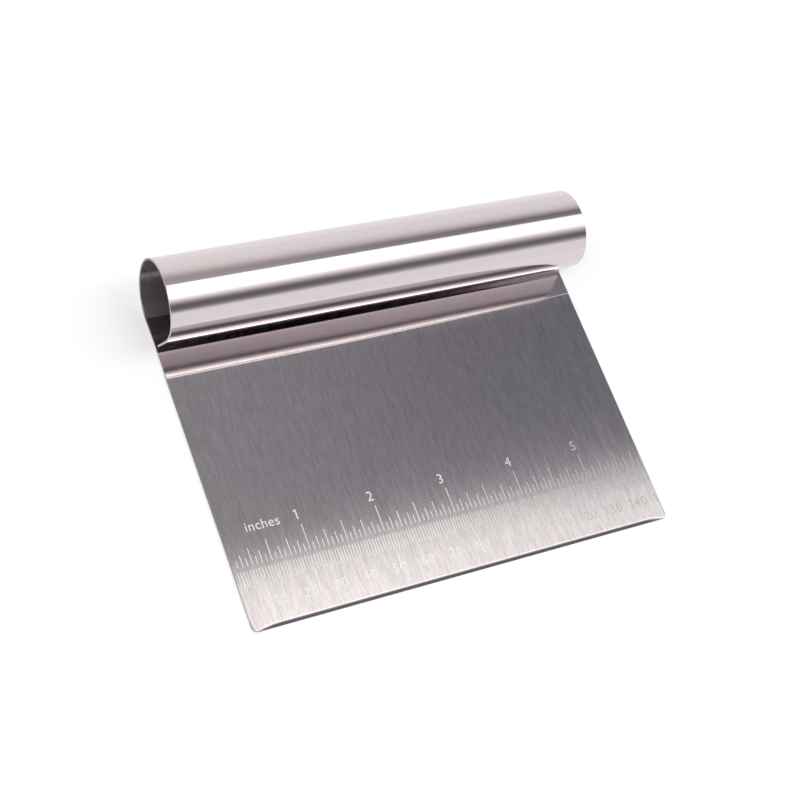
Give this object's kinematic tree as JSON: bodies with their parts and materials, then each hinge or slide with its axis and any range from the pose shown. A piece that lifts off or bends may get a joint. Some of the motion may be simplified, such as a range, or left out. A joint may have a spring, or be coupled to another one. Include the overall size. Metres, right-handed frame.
{
  "type": "bench scraper",
  "caption": "Sheet-steel dough scraper: flat brushed blade with an etched inch and millimetre scale, and an open handle rolled from sheet along its top edge.",
  "frame": {"origin": "on the surface that the scraper lies on, under the middle of its outline", "axes": "+X along the blade's width, left to right as its scale reads; +Y from the cutting edge to the handle; +Z out of the blade's front, the side that the handle curls over"},
  "size_m": [0.15, 0.1186, 0.0276],
  "materials": {
    "brushed_steel": "brushed along the blade's length, from cutting edge to handle",
    "polished_steel": "bright rolled stainless steel, faint grain around the roll"
  },
  "bodies": {
    "root": {"blade": "brushed_steel", "rolled_handle": "polished_steel"}
  },
  "joints": []
}
